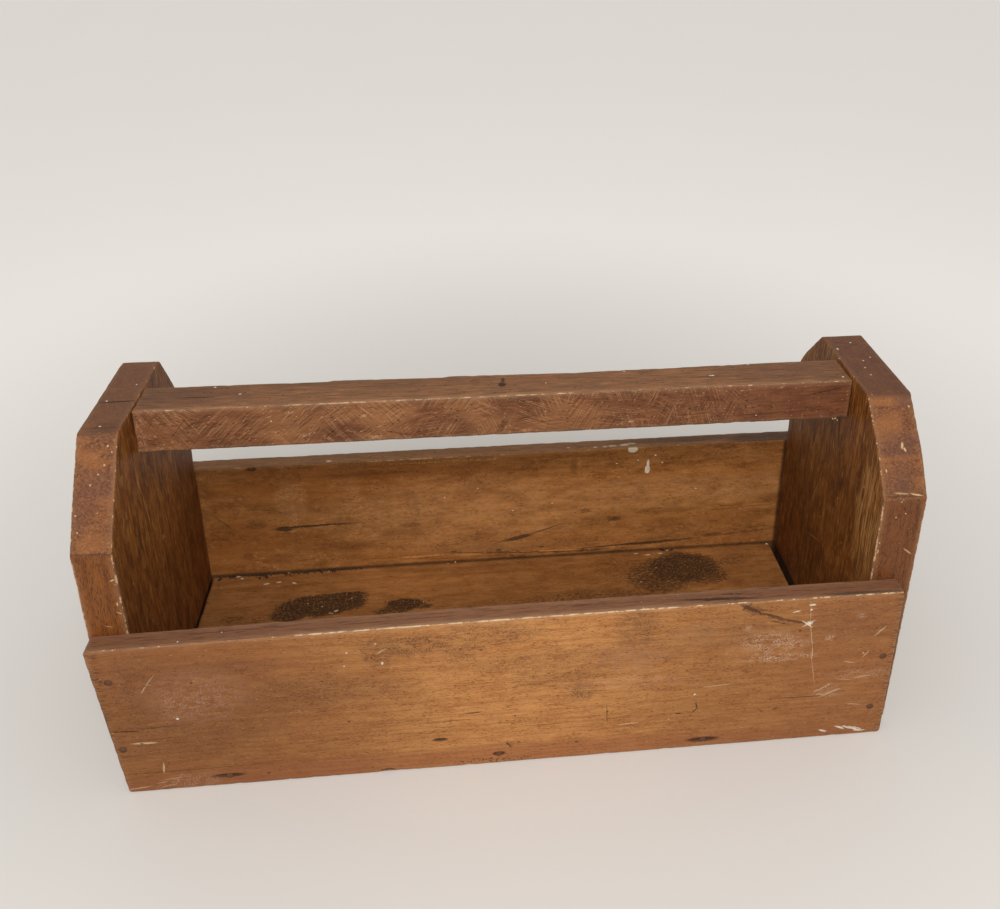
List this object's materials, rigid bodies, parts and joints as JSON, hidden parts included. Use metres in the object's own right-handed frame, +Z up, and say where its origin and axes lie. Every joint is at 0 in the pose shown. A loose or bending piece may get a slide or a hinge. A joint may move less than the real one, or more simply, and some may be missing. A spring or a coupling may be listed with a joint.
{
  "type": "tool storage caddy",
  "caption": "Open wooden tool caddy: shaped end boards, nailed side and bottom boards, and a square carrying bar between the tops of the ends.",
  "frame": {"origin": "on the ground under the middle of the caddy, at the centre of the bottom of its bounding box", "axes": "+X along the length to the right, +Y towards the back, +Z up"},
  "size_m": [0.7804, 0.279, 0.355],
  "materials": {
    "end_board_wood": "old oiled softwood, worn",
    "front_board_wood": "old oiled softwood, worn",
    "back_board_wood": "old oiled softwood, worn",
    "bottom_board_wood": "old softwood, stained",
    "handle_wood": "rough-sawn softwood, worn",
    "nail_steel": "dull, rusted"
  },
  "bodies": {
    "root": {"left_end": "end_board_wood", "right_end": "end_board_wood", "front_board": "front_board_wood", "back_board": "back_board_wood", "bottom_board": "bottom_board_wood", "handle": "handle_wood", "front_left_nails": "nail_steel", "front_right_nails": "nail_steel", "front_bottom_nails": "nail_steel", "back_left_nails": "nail_steel", "back_right_nails": "nail_steel", "back_bottom_nails": "nail_steel", "left_handle_nails": "nail_steel", "right_handle_nails": "nail_steel"}
  },
  "joints": []
}
